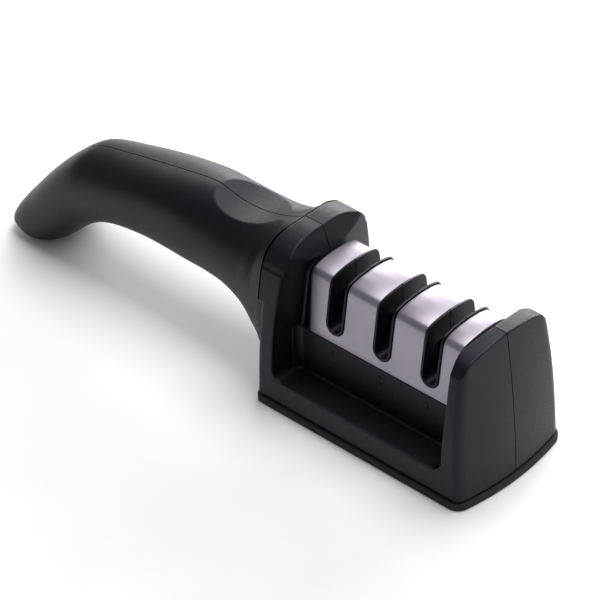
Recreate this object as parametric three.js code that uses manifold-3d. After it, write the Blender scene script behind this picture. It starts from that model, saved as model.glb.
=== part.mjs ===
// Handheld pull-through sharpener with three slots, in millimetres.
// +X runs from the handle to the nose, +Z is up, and the origin is the centre of the pad's rest face.
// The halves of the body part on the plane y = 0: right is -Y, left is +Y.
import * as THREE from "three";
import { mergeVertices } from "three/addons/utils/BufferGeometryUtils.js";
import Module from "manifold-3d";

const wasm = await Module();
wasm.setup();

// ---- driving dimensions ----
const GAP = 0.3;              // clearance kept between touching pieces
const WALL = 2.4;             // body wall
const PAD_HEIGHT = 2.5;       // rubber pad
const PAD_LIP = 0.8;          // how far the pad stands out past the body
const PLATE_TOP = 4.7;        // top of the base plate
const HEAD_REAR = -42.3;      // rear wall of the head, under the handle
const HALF_WIDTH = 24.2;      // half the head's width at its foot
const FLOOR_Z = 11;           // pocket floor
const SADDLE_HALF = 13.3;     // half the saddle's width between the side pockets
const COVER_LOW = 27.1;       // lower edge of the steel cover
const CREST_Z = 50;           // top of the steel cover
const COVER_THICK = 1.0;
const COVER_X = [-32.6, 28.4]; // ends of the cover on its crest
const COVER_RAKE = 1.8;       // how far its ends draw in at the lower edge
const POCKET_REAR = -33.4;    // collar face on the centre plane
const POCKET_FRONT = 29.2;    // nose face on the centre plane
const POCKET_BOW = 2.9;       // how far both faces fall back at the outside
const COLLAR_BACK = -45;      // plane of the groove behind the collar
const GROOVE_LOW = 37;        // the groove ends at this height on both sides
const SADDLE_RUN = [-40, 36]; // the saddle is drawn from inside the collar to inside the nose
const SLOT_PITCH = 19;
const SLOT_CENTRES = [-1, 0, 1].map((step) => -1.3 + step * SLOT_PITCH);
const SLOT_CLEAR = 2.7;       // half width of the knife slot
const LINING = 0.75;          // wall of the slot lining
const SLOT_ROUND_Z = 33.6;    // centre of the slot's round bottom
const WINDOW_HALF = 6;        // the lining is open this far each side of the centre plane
const WINDOW_TOP = 42;        // and up to this height
const CROSS_Z = 34;           // height at which the two sharpening pieces cross
const CROSS_ANGLE = THREE.MathUtils.degToRad(20);
const SCREW_RADIUS = 1.3;
const SCREW_HEAD_RADIUS = 2.7;
const BESIDE = 40;            // cutters run this far to each side, well past the body
const ABOVE = 80;             // and up to this height

// Head wall: half width at each height.
const SIDE = [[2.8, 24.2], [14, 24.1], [23, 23.7], [32, 22.8], [38, 21.9], [44, 20.9], [50, 19.6], [60, 17.6]];
const NOSE_ROOF = [[19, 47.6], [17.2, 49.6], [13, 51.2], [6, 52.3], [0, 52.8]];
const COLLAR_ROOF = [[19.6, 48.4], [18.9, 50.4], [17.4, 52.5], [15, 54.5], [10.4, 56.3], [5.2, 57], [0, 57]];

// Handle ribs: top x, top z, bottom x, bottom z, half width, squareness above and below the waist,
// and the waist's height as a share of the rib.
const RIBS = [
  [-39.5, 56.4, -39.5, 5, 21.7, 3.0, 3.0, 0.5],
  [-43, 56.2, -43.8, 7.5, 21.6, 2.8, 3.2, 0.5],
  [-46, 55.9, -46.6, 13, 21.0, 2.5, 3.1, 0.47],
  [-49.5, 54.2, -49.8, 17, 20.2, 2.2, 2.9, 0.42],
  [-53, 52.9, -53, 19.7, 19.3, 2.35, 2.6, 0.4],
  [-58, 52.9, -58, 21.5, 18, 2.15, 2.5, 0.42],
  [-66, 53.3, -66, 22.9, 16.7, 2.05, 2.45, 0.46],
  [-75, 52.8, -75, 23.2, 16, 2.2, 2.45, 0.5],
  [-84, 52.2, -84, 23.1, 15.8, 2.5, 2.4, 0.5],
  [-92, 50.8, -92, 23.1, 15.5, 2.75, 2.3, 0.5],
  [-101, 49.1, -101, 22.8, 15.2, 2.85, 2.2, 0.5],
  [-111, 47.1, -110.5, 21.9, 15, 2.7, 2.2, 0.5],
  [-121, 44.9, -119, 20, 14.8, 2.5, 2.2, 0.5],
  [-129, 43.1, -125.3, 17.6, 14.6, 2.4, 2.3, 0.5],
  [-136, 40.5, -130.8, 14.6, 14.5, 2.4, 2.5, 0.5],
  [-143.5, 34.4, -135.2, 11.3, 14.5, 2.4, 2.6, 0.5],
  [-150.7, 26.8, -139.4, 7.5, 14.5, 2.4, 2.8, 0.5],
  [-157.3, 18.8, -143.6, 3.6, 14.5, 2.4, 3.1, 0.5],
  [-162.3, 12.3, -148, 1.2, 14.4, 2.5, 3.3, 0.5],
  [-165.1, 7.8, -152.4, 0.4, 13.8, 2.6, 3.3, 0.5],
  [-166, 4.9, -156.8, 0.4, 12.2, 2.7, 3.2, 0.5],
];
const RIB_POINTS = 28;
const THUMB_REST = { x: -66, z: 50.5, radius: 39, reach: 30, steps: 24 };

// ---- geometry helpers ----
const axes = {
  x: new THREE.Matrix4().makeBasis(
    new THREE.Vector3(0, 1, 0), new THREE.Vector3(0, 0, 1), new THREE.Vector3(1, 0, 0)),
  y: new THREE.Matrix4().makeBasis(
    new THREE.Vector3(0, 0, 1), new THREE.Vector3(1, 0, 0), new THREE.Vector3(0, 1, 0)),
  z: new THREE.Matrix4(),
};

function solid(geometry) {
  const source = geometry.index ? geometry.clone() : geometry;
  source.deleteAttribute("normal");
  source.deleteAttribute("uv");
  const merged = mergeVertices(source, 1e-4);
  return new wasm.Manifold(new wasm.Mesh({
    numProp: 3,
    vertProperties: new Float32Array(merged.attributes.position.array),
    triVerts: new Uint32Array(merged.index.array),
  }));
}

function geometryOf(manifold) {
  const mesh = manifold.getMesh();
  const geometry = new THREE.BufferGeometry();
  geometry.setAttribute("position", new THREE.BufferAttribute(mesh.vertProperties, 3));
  geometry.setIndex(new THREE.BufferAttribute(mesh.triVerts, 1));
  return geometry;
}

// A prism: the outline is given in (y, z) for axis x, (z, x) for axis y and (x, y) for axis z.
function prism(axis, outline, from, to) {
  const shape = new THREE.Shape(outline.map(([a, b]) => new THREE.Vector2(a, b)));
  const geometry = new THREE.ExtrudeGeometry(shape, { depth: to - from, bevelEnabled: false });
  geometry.translate(0, 0, from);
  geometry.applyMatrix4(axes[axis]);
  return solid(geometry);
}

function box(x0, x1, y0, y1, z0, z1) {
  const geometry = new THREE.BoxGeometry(x1 - x0, y1 - y0, z1 - z0);
  geometry.translate((x0 + x1) / 2, (y0 + y1) / 2, (z0 + z1) / 2);
  return solid(geometry);
}

// Joins closed rings of equal length into one solid with flat ends.
function loft(rings) {
  const count = rings[0].length;
  const points = rings.flat();
  const faces = [];
  for (let ring = 0; ring < rings.length - 1; ring += 1) {
    for (let i = 0; i < count; i += 1) {
      const a = ring * count + i;
      const b = ring * count + ((i + 1) % count);
      faces.push([a, b, b + count], [a, b + count, a + count]);
    }
  }
  const last = (rings.length - 1) * count;
  for (let i = 1; i < count - 1; i += 1) {
    faces.push([0, i + 1, i], [last, last + i, last + i + 1]);
  }
  const geometry = new THREE.BufferGeometry();
  geometry.setAttribute("position", new THREE.Float32BufferAttribute(points.flat(), 3));
  geometry.setIndex(faces.flat());
  return solid(geometry);
}

function rodBetween(start, end, radius, sides = 16, endRadius = radius) {
  const from = new THREE.Vector3(...start);
  const along = new THREE.Vector3(...end).sub(from);
  const geometry = new THREE.CylinderGeometry(endRadius, radius, along.length(), sides);
  geometry.translate(0, along.length() / 2, 0);
  const turn = new THREE.Quaternion().setFromUnitVectors(
    new THREE.Vector3(0, 1, 0), along.clone().normalize());
  geometry.applyQuaternion(turn);
  geometry.translate(from.x, from.y, from.z);
  return solid(geometry);
}

// A solid of revolution about Z from (radius, z) points.
function turned(profile, sides = 18) {
  const geometry = new THREE.LatheGeometry(profile.map(([r, z]) => new THREE.Vector2(r, z)), sides);
  geometry.rotateX(Math.PI / 2);
  return solid(geometry);
}

function unite(parts) {
  return parts.reduce((whole, part) => whole.add(part));
}

function interpolate(table, at) {
  const next = table.findIndex(([key]) => key >= at);
  if (next <= 0) return next === 0 ? table[0][1] : table[table.length - 1][1];
  const [low, high] = [table[next - 1], table[next]];
  return low[1] + ((at - low[0]) / (high[0] - low[0])) * (high[1] - low[1]);
}

// ---- outer form of the body, drawn in by an inset ----
function handleRib([topX, topZ, lowX, lowZ, halfWidth, squareTop, squareLow, waist], slide, inset) {
  const span = Math.hypot(topX - lowX, topZ - lowZ);
  const [dirX, dirZ] = [(topX - lowX) / span, (topZ - lowZ) / span];
  const [midX, midZ] = [lowX + dirX * span * waist + slide * 0.85, lowZ + dirZ * span * waist + slide * 0.5];
  const half = halfWidth - inset;
  return Array.from({ length: RIB_POINTS }, (_, i) => {
    const angle = (2 * Math.PI * i) / RIB_POINTS;
    const isTop = Math.sin(angle) > 0;
    const power = 2 / (isTop ? squareTop : squareLow);
    const reach = span * (isTop ? 1 - waist : waist) - inset;
    const across = Math.sign(Math.cos(angle)) * Math.abs(Math.cos(angle)) ** power;
    const up = Math.sign(Math.sin(angle)) * Math.abs(Math.sin(angle)) ** power;
    return [midX + up * reach * dirX, across * half, midZ + up * reach * dirZ];
  }).reverse();
}

function handleForm(inset) {
  const last = RIBS.length - 1;
  const ribs = RIBS.map((rib, index) => handleRib(rib, inset * (index / last) ** 6, inset));
  return loft(ribs);
}

// The thumb rest is one arc along the handle, level across it, that runs up to the collar's top.
function thumbCutter(inset) {
  const { x, z, radius, reach, steps } = THUMB_REST;
  const hollow = Array.from({ length: steps + 1 }, (_, i) => {
    const along = ((2 * i) / steps - 1) * reach;
    return [z - inset + along ** 2 / (2 * radius), x + along];
  });
  return prism("y", [...hollow, [ABOVE, x + reach], [ABOVE, x - reach]], -BESIDE, BESIDE);
}

function noseX(y, z) {
  const rise = z - PAD_HEIGHT;
  const centre = 42.4 - 0.055 * rise - 0.0012 * rise ** 2;
  const corner = THREE.MathUtils.mapLinear(z, 2.2, 51.8, 39.6, 35.2);
  return corner + (centre - corner) * (1 - (y / HALF_WIDTH) ** 2);
}

// Plan outline of the head at one height, anticlockwise from the rear right corner.
function headOutline(z, grow, rear, round = 2.2) {
  const half = interpolate(SIDE, z) + grow;
  const rearCorner = (side) => [0, 1, 2, 3].map((step) => {
    const angle = (step / 3) * (Math.PI / 2);
    return [rear - grow + round * (1 - Math.sin(angle)), side * (half - round * (1 - Math.cos(angle)))];
  });
  const front = [-1, -0.985, -0.94, -0.86, -0.57, -0.29, 0, 0.29, 0.57, 0.86, 0.94, 0.985, 1].map((part) => {
    const edge = Math.max(Math.abs(part) - 0.86, 0) / 0.14;
    const back = round * (1 - Math.sqrt(1 - edge ** 2));
    return [noseX(part * half, z) + grow - back, part * half];
  });
  return [...rearCorner(-1).reverse(), ...front, ...rearCorner(1)]
    .map(([x, y]) => [x, y, z]);
}

function headBlock(inset, low, rear) {
  const levels = [low, ...SIDE.map(([z]) => z).filter((z) => z > low)];
  const block = loft(levels.map((z) => headOutline(z, -inset, rear)));
  const roof = (points) => [
    [-BESIDE, 0], [BESIDE, 0], [BESIDE, 30], ...points.map(([y, z]) => [y - inset * 0.5, z - inset]),
    ...points.slice(0, -1).reverse().map(([y, z]) => [-y + inset * 0.5, z - inset]), [-BESIDE, 30],
  ];
  const nose = block.intersect(prism("x", roof(NOSE_ROOF), 0, BESIDE + 20));
  const collar = block.intersect(prism("x", roof(COLLAR_ROOF), -2 * BESIDE, 0));
  return nose.add(collar);
}

function bodyForm(inset) {
  const low = PAD_HEIGHT + GAP;
  const head = headBlock(inset, inset ? 0 : low, HEAD_REAR);
  const aboveGroove = box(-60, 0, -BESIDE, BESIDE, GROOVE_LOW, ABOVE);
  const collar = headBlock(inset, GROOVE_LOW - 4, COLLAR_BACK).intersect(aboveGroove);
  return unite([head, collar, handleForm(inset)]).subtract(thumbCutter(inset));
}

// ---- the cut that leaves the saddle standing between the side pockets ----
function pocketBlock(grow) {
  const bow = (y) => POCKET_BOW * (y / 22) ** 2;
  const steps = [-1, -0.75, -0.5, -0.25, 0, 0.25, 0.5, 0.75, 1].map((part) => part * 30);
  const plan = [
    ...steps.map((y) => [POCKET_FRONT + grow + Math.min(bow(y), 3.4), y]),
    ...steps.slice().reverse().map((y) => [POCKET_REAR - grow - Math.min(bow(y), 3.4), y]),
  ];
  const round = 4;
  const low = FLOOR_Z - grow;
  const ends = [POCKET_REAR - POCKET_BOW - grow, POCKET_FRONT + POCKET_BOW + grow];
  const corner = (x, side) => [0, 1, 2, 3, 4].map((step) => {
    const angle = (step / 4) * (Math.PI / 2);
    return [low + round * (1 - Math.sin(angle)), x + side * round * (1 - Math.cos(angle))];
  });
  const profile = [
    [ABOVE, ends[0]], ...corner(ends[0], 1), ...corner(ends[1], -1).reverse(), [ABOVE, ends[1]],
  ];
  const funnel = [
    [CREST_Z - 1, POCKET_REAR - grow], [57.2, POCKET_REAR - 3.2 - grow], [ABOVE, POCKET_REAR - 3.2 - grow],
    [ABOVE, POCKET_FRONT + 2.6 + grow], [53, POCKET_FRONT + 2.6 + grow], [CREST_Z - 1, POCKET_FRONT + grow],
  ];
  return prism("z", plan, low, ABOVE)
    .intersect(prism("y", profile, -BESIDE, BESIDE))
    .add(prism("y", funnel, -BESIDE, BESIDE));
}

// Saddle outline in (y, z), drawn in by an inset; the shoulder is bent as the cover is.
function saddleOutline(inset, low) {
  const right = [
    [SADDLE_HALF - inset, low], [SADDLE_HALF - inset, COVER_LOW],
    [12.1 - inset, 37], [11 - inset, 45.6], [10.6 - inset, 47.2 - inset * 0.5],
    [9.6 - inset, 48.5 - inset], [8 - inset, 49.1 - inset], [5 - inset * 0.6, 49.7 - inset],
    [0, CREST_Z - inset],
  ];
  return [...right, ...right.slice(0, -1).reverse().map(([y, z]) => [-y, z])];
}

function saddleCore(inset) {
  const step = COVER_THICK + GAP;
  const low = FLOOR_Z - 3;
  const pedestal = prism("x", [
    [-SADDLE_HALF + inset, low], [SADDLE_HALF - inset, low],
    [SADDLE_HALF - inset, COVER_LOW - GAP - inset], [-SADDLE_HALF + inset, COVER_LOW - GAP - inset],
  ], ...SADDLE_RUN);
  return pedestal.add(prism("x", saddleOutline(step + inset, low), ...SADDLE_RUN));
}

function pocketFillets() {
  const round = 2.4;
  const corners = [[POCKET_REAR - 1.1, 1], [POCKET_FRONT + 1.1, -1]];
  return unite(corners.flatMap(([x, sideX]) => [-1, 1].map((sideY) => {
    const arc = [0, 1, 2, 3, 4, 5].map((step) => {
      const angle = (step / 5) * (Math.PI / 2);
      const [alongX, alongY] = [round * (1 - Math.cos(angle)), round * (1 - Math.sin(angle))];
      return [x + sideX * alongX, sideY * (SADDLE_HALF + alongY)];
    });
    const inner = SADDLE_HALF - 1;
    const outline = [...arc, [x + sideX * round, sideY * inner], [x - sideX * 2, sideY * inner],
      [x - sideX * 2, sideY * (SADDLE_HALF + round)]];
    return prism("z", outline, FLOOR_Z - 1, COVER_LOW - GAP);
  })));
}

function slotPrism(x, halfWidth, from, to) {
  const arc = Array.from({ length: 11 }, (_, i) => {
    const angle = Math.PI + (i / 10) * Math.PI;
    return [SLOT_ROUND_Z + halfWidth * Math.sin(angle), x + halfWidth * Math.cos(angle)];
  });
  return prism("y", [[ABOVE, x - halfWidth], ...arc, [ABOVE, x + halfWidth]], from, to);
}

function slotPrisms(halfWidth, from = -BESIDE, to = BESIDE) {
  return unite(SLOT_CENTRES.map((x) => slotPrism(x, halfWidth, from, to)));
}

// ---- body halves ----
const BASE_SCREWS = [[-26, -17.4], [-26, 17.4], [23, -17.4], [23, 17.4]];
const HANDLE_SCREWS = [[-78, 35], [-133, 25]];
const PEGS = [[-58, 32], [-108, 33]];
const BOSS_RADIUS = 3.6;
const PEG_RADIUS = 1.4;
const HEAD_BORE = SCREW_HEAD_RADIUS + GAP;
const SHANK_BORE = SCREW_RADIUS + GAP;
const SCREW_SEAT_Y = 6.5;       // bottom of the counterbore in the left half
const SPLIT = 0.15;             // each half stops this far short of y = 0

function hollowBody() {
  const cut = pocketBlock(0).subtract(saddleCore(0)).subtract(pocketFillets());
  const lips = slotPrisms(SLOT_CLEAR + LINING)
    .intersect(prism("x", saddleOutline(-0.35, FLOOR_Z), ...SADDLE_RUN))
    .intersect(box(...SADDLE_RUN, -SADDLE_HALF - 0.3, SADDLE_HALF + 0.3, FLOOR_Z + 2, 60));
  const aboveWindows = box(...SADDLE_RUN, -BESIDE, BESIDE, WINDOW_TOP, ABOVE);
  const inside = bodyForm(WALL)
    .subtract(pocketBlock(WALL).subtract(saddleCore(2)))
    .subtract(slotPrisms(SLOT_CLEAR + LINING, WINDOW_HALF, BESIDE))
    .subtract(slotPrisms(SLOT_CLEAR + LINING, -BESIDE, -WINDOW_HALF))
    .subtract(slotPrisms(SLOT_CLEAR + LINING).intersect(aboveWindows));
  const groove = box(COLLAR_BACK - 0.4, COLLAR_BACK + 0.4, -BESIDE, BESIDE, GROOVE_LOW, ABOVE)
    .subtract(bodyForm(0.8));
  return {
    walls: bodyForm(0).subtract(cut).add(lips).subtract(inside)
      .subtract(slotPrisms(SLOT_CLEAR)).subtract(groove),
    envelope: bodyForm(WALL / 2),
  };
}

function baseBosses(side) {
  const posts = BASE_SCREWS.filter(([, y]) => y * side > 0);
  return unite(posts.map(([x, y]) => rodBetween([x, y, PLATE_TOP + GAP], [x, y, FLOOR_Z - 1], 3.2)));
}

function baseBores() {
  return unite(BASE_SCREWS.map(([x, y]) => rodBetween([x, y, 3], [x, y, FLOOR_Z - 0.9], SHANK_BORE)));
}

function half(body, side) {
  const keep = box(-200, 60, side > 0 ? SPLIT : -BESIDE, side > 0 ? BESIDE : -SPLIT, 0, ABOVE);
  const bosses = unite(HANDLE_SCREWS.map(([x, z]) =>
    rodBetween([x, 0, z], [x, side * 20, z], BOSS_RADIUS)));
  const pegPosts = unite(PEGS.map(([x, z]) => rodBetween([x, 0, z], [x, side * 20, z], 3.2)));
  const posts = unite([bosses, pegPosts]).intersect(body.envelope);
  return body.walls.add(posts).add(baseBosses(side)).intersect(keep).subtract(baseBores());
}

function leftShell(body) {
  const counterbores = unite(HANDLE_SCREWS.map(([x, z]) =>
    rodBetween([x, SCREW_SEAT_Y, z], [x, BESIDE, z], HEAD_BORE)
      .add(rodBetween([x, -1, z], [x, 20, z], SHANK_BORE))));
  const sockets = unite(PEGS.map(([x, z]) => rodBetween([x, -1, z], [x, 4.6, z], PEG_RADIUS + GAP)));
  return half(body, 1).subtract(counterbores).subtract(sockets);
}

function rightShell(body) {
  const bores = unite(HANDLE_SCREWS.map(([x, z]) => rodBetween([x, -10.5, z], [x, 1, z], SHANK_BORE)));
  const pegs = unite(PEGS.map(([x, z]) => rodBetween([x, -2, z], [x, 4, z], PEG_RADIUS)));
  return half(body, -1).subtract(bores).add(pegs);
}

// ---- steel cover ----
function steelCover() {
  const low = COVER_LOW;
  const outer = prism("x", saddleOutline(0, low - 20), ...COVER_X);
  const inner = prism("x", saddleOutline(COVER_THICK, low - 20), COVER_X[0] - 1, COVER_X[1] + 1);
  const [rear, front] = COVER_X;
  const ends = prism("y", [
    [low, rear + COVER_RAKE], [CREST_Z, rear], [ABOVE, rear],
    [ABOVE, front], [CREST_Z, front], [low, front - COVER_RAKE],
  ], -BESIDE, BESIDE);
  return outer.subtract(inner).intersect(ends).subtract(slotPrisms(SLOT_CLEAR + LINING + GAP));
}

// ---- base ----
function basePlate() {
  const outline = headOutline(PAD_HEIGHT + GAP, -WALL - GAP, HEAD_REAR);
  const plate = prism("z", outline, PAD_HEIGHT + GAP, PLATE_TOP);
  const low = PAD_HEIGHT;
  const countersink = [[0, low], [HEAD_BORE, low], [HEAD_BORE, low + 1], [SHANK_BORE, low + 2],
    [SHANK_BORE, low + 3], [0, low + 3]];
  const holes = BASE_SCREWS.map(([x, y]) => turned(countersink).translate(x, y, 0));
  return plate.subtract(unite(holes));
}

function basePad() {
  const outline = headOutline(PAD_HEIGHT, PAD_LIP, HEAD_REAR, 3.2);
  const grooves = [-18, -6, 6, 18].map((y) => box(-32, 30, y - 1, y + 1, -1, 0.8));
  return prism("z", outline, 0, PAD_HEIGHT).subtract(unite(grooves));
}

// ---- screws, built standing on their tips and then laid along their direction ----
function screw(length) {
  const profile = [[0, 0], [0.6, 0], [SCREW_RADIUS, 1.2], [SCREW_RADIUS, length - 1.3],
    [SCREW_HEAD_RADIUS, length - 0.2], [SCREW_HEAD_RADIUS, length], [0, length]];
  const body = solid(new THREE.LatheGeometry(profile.map(([r, y]) => new THREE.Vector2(r, y)), 18));
  const recess = (turn) => {
    const bar = new THREE.BoxGeometry(3.0, 1.2, 0.7);
    bar.translate(0, length, 0);
    bar.rotateY(turn);
    return solid(bar);
  };
  return geometryOf(body.subtract(recess(0)).subtract(recess(Math.PI / 2)));
}

// ---- sharpening pieces and their holders ----
const STAGES = [
  { kind: "diamond_rod", radius: 1.8, offset: 2.4, low: 24.6, high: 39.6 },
  { kind: "carbide_blade", width: 4.6, thick: 1.8, offset: 1.15, low: 24.6, high: 40 },
  { kind: "ceramic_rod", radius: 1.8, offset: 2.4, low: 24.6, high: 39.6 },
];

// One of the crossing pair; lean is +1 or -1, and grow opens it out for its socket.
function sharpener(stage, x, lean, grow = 0) {
  const reach = (z) => x + lean * (z - CROSS_Z) * Math.tan(CROSS_ANGLE);
  const y = lean * stage.offset;
  if (stage.radius) {
    return rodBetween([reach(stage.low), y, stage.low], [reach(stage.high), y, stage.high],
      stage.radius + grow, 20);
  }
  const length = (stage.high - stage.low) / Math.cos(CROSS_ANGLE);
  const plate = new THREE.BoxGeometry(stage.width + 2 * grow, stage.thick + 2 * grow, length);
  plate.rotateY(lean * CROSS_ANGLE);
  const middle = (stage.low + stage.high) / 2;
  plate.translate(reach(middle), y, middle);
  return solid(plate);
}

function holder(stage, x) {
  const foot = box(x - 6.2, x + 6.2, -10.7, 10.7, PLATE_TOP + GAP, 24);
  const head = box(x - 6.2, x + 6.2, -5.6, 5.6, 23, 30);
  const hollow = box(x - 4.6, x + 4.6, -9, 9, 4, 21.5);
  const socket = { ...stage, low: stage.low - GAP, high: 44 };
  const sockets = [-1, 1].map((lean) => sharpener(socket, x, lean, GAP));
  return head.add(foot).subtract(hollow).subtract(unite(sockets));
}

// ---- assembly ----
const colours = {
  plastic: { color: 0x1d1c20, roughness: 0.55, metalness: 0 },
  innerPlastic: { color: 0x2a2a2c, roughness: 0.6, metalness: 0 },
  rubber: { color: 0x141416, roughness: 0.85, metalness: 0 },
  steel: { color: 0xb4aeb2, roughness: 0.32, metalness: 1 },
  screwSteel: { color: 0x8d8f92, roughness: 0.35, metalness: 1 },
  diamond: { color: 0x6e6c68, roughness: 0.8, metalness: 0.5 },
  carbide: { color: 0x4c4e52, roughness: 0.4, metalness: 0.9 },
  ceramic: { color: 0xe6e2d8, roughness: 0.5, metalness: 0 },
};

const sharpenerGroup = new THREE.Group();

function addPiece(name, geometry, colour, parent = sharpenerGroup) {
  const piece = new THREE.Mesh(geometry, new THREE.MeshStandardMaterial(colours[colour]));
  piece.name = name;
  parent.add(piece);
  return piece;
}

const body = hollowBody();
addPiece("right_shell", geometryOf(rightShell(body)), "plastic");
addPiece("left_shell", geometryOf(leftShell(body)), "plastic");
addPiece("steel_cover", geometryOf(steelCover()), "steel");
addPiece("base_plate", geometryOf(basePlate()), "innerPlastic");
addPiece("base_pad", geometryOf(basePad()), "rubber");

const baseScrews = new THREE.Group();
BASE_SCREWS.forEach(([x, y], index) => {
  const piece = addPiece(`base_screw_${index + 1}`, screw(6), "screwSteel", baseScrews);
  piece.position.set(x, y, PAD_HEIGHT + GAP + 6);
  piece.rotation.x = -Math.PI / 2;
});
sharpenerGroup.add(baseScrews);

const handleScrews = new THREE.Group();
HANDLE_SCREWS.forEach(([x, z], index) => {
  const length = 16;
  const piece = addPiece(`handle_screw_${index + 1}`, screw(length), "screwSteel", handleScrews);
  piece.position.set(x, SCREW_SEAT_Y + 1.3 + GAP - length, z);
});
sharpenerGroup.add(handleScrews);

STAGES.forEach((stage, index) => {
  const x = SLOT_CENTRES[index];
  const name = `stage_${index + 1}`;
  const material = ["diamond", "carbide", "ceramic"][index];
  addPiece(`${name}_holder`, geometryOf(holder(stage, x)), "innerPlastic");
  addPiece(`${name}_${stage.kind}_a`, geometryOf(sharpener(stage, x, -1)), material);
  addPiece(`${name}_${stage.kind}_b`, geometryOf(sharpener(stage, x, 1)), material);
});

export default sharpenerGroup;
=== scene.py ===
import math

import bmesh
import bpy
from mathutils import Matrix, Vector


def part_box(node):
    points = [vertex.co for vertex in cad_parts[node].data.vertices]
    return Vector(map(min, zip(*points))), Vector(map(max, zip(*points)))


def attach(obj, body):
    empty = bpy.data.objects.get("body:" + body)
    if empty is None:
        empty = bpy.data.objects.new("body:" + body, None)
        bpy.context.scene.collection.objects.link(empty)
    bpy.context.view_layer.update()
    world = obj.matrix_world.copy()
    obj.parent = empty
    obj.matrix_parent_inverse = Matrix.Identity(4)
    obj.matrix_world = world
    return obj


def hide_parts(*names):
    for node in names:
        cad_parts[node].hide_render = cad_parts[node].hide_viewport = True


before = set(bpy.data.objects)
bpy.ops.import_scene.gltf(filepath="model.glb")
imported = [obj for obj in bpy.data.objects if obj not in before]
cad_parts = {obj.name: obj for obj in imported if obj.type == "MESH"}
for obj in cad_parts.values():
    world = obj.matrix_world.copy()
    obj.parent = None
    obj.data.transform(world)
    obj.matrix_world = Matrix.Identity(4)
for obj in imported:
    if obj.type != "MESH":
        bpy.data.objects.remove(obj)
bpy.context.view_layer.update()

# Handheld pull-through sharpener with three slots. Shapes are drawn in millimetres and built in metres.
# +X runs from the handle to the nose, +Z is up, and the body's halves part on the plane y = 0.
MM = 0.001

# ---- driving dimensions, in millimetres ----
GAP = 0.3
WALL = 2.4
SPLIT = 0.15                 # each half of the body stops this far short of y = 0
BODY_RUN = (-200, 60)        # cutters run along X past both ends of the body,
SADDLE_RUN = (-40, 36)       # or past both ends of the saddle,
BESIDE = 40                  # to each side well past the body,
ABOVE = 80                   # and up to this height
PAD_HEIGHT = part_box("base_pad")[1].z / MM
PAD_LIP = 0.8
PLATE_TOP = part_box("base_plate")[1].z / MM
HEAD_REAR = -42.3
HALF_WIDTH = 24.2
FLOOR_Z = 11                 # pocket floor
SADDLE_HALF = 13.3           # half the saddle's width between the side pockets
COVER_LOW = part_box("steel_cover")[0].z / MM
CREST_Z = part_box("steel_cover")[1].z / MM
COVER_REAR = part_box("steel_cover")[0].x / MM
COVER_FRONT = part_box("steel_cover")[1].x / MM
COVER_THICK = 1.0
COVER_RAKE = 1.8             # how far the cover's ends draw in at its lower edge
POCKET_REAR = -33.4
POCKET_FRONT = 29.2
POCKET_BOW, POCKET_BOW_HALF, POCKET_BOW_MOST = 2.9, 22, 3.4
POCKET_TURN = 4              # radius between the pocket's floor and its end walls
POCKET_FILLET = 2.4          # radius between the saddle's sides and the end walls
REAR_LEAN, FRONT_LEAN = 3.2, 2.6     # how far the end walls lean away above the cover
COLLAR_BACK = -45
GROOVE_LOW = 37
GROOVE_HALF, GROOVE_DEPTH = 0.35, 0.7
GROOVE_LEAN = 1.4            # how far the groove leans forward from its top to its low ends
SLOT_CENTRES = [sum(corner.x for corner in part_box(f"stage_{n}_holder")) / 2 / MM for n in (1, 2, 3)]
SLOT_CLEAR = 2.7
LINING = 0.75
LIP_PROUD = 0.35             # the lining's rim stands this far out of the saddle's section
SLOT_ROUND_Z = 33.6
WINDOW_HALF = 6              # the slot lining is open this far each side of the centre plane
WINDOW_TOP = 42              # and up to this height
CROSS_Z = 34                 # the crossing pairs meet at this height
CROSS_ANGLE = math.radians(20)
BASE_SCREWS = [(-26, -17.4), (-26, 17.4), (23, -17.4), (23, 17.4)]
HANDLE_SCREWS = [(-78, 35), (-133, 25)]
PEGS = [(-58, 32), (-108, 33)]
PEG_RADIUS = 1.4
SCREW_RADIUS = 1.3
SCREW_HEAD_RADIUS = 2.7
SCREW_SEAT_Y = 6.5
SCREW_HEAD_HEIGHT = 1.3
BOSS_RADIUS, POST_RADIUS = 3.6, 3.2
BODY_VOXEL = 0.32            # face size of the moulded body
EDGE_ROUNDS = 6              # how far its edges are eased
DIGIT_Z, DIGIT_SIZE, DIGIT_DEPTH = 22.6, 4.2, 0.18
CURL = 1.4                   # radius at which the cover's rear edge turns in
FRONT_CURL = 0.5
ROD_RADIUS, ROD_DOME, ROD_OFFSET = 1.8, 0.5, 2.4
ROD_LOW, ROD_HIGH = 24.6, 39.6
BLADE_WIDTH, BLADE_THICK, BLADE_OFFSET, BLADE_HIGH = 4.6, 1.8, 1.15, 40
SOCKET_HIGH = 44             # the holders' sockets are open up to here
SMOOTH_ANGLE = math.radians(32)      # edges sharper than this stay crisp

# Head wall: half width at each height. Roofs: half outlines in (y, z) from the eaves to the ridge.
SIDE = [(2.8, 24.2), (14, 24.1), (23, 23.7), (32, 22.8), (38, 21.9), (44, 20.9), (50, 19.6), (60, 17.6)]
NOSE_ROOF = [(19, 47.6), (17.2, 49.6), (13, 51.2), (6, 52.3), (0, 52.8)]
COLLAR_ROOF = [(19.6, 48.4), (18.9, 50.4), (17.4, 52.5), (15, 54.5), (10.4, 56.3), (5.2, 57), (0, 57)]

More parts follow.
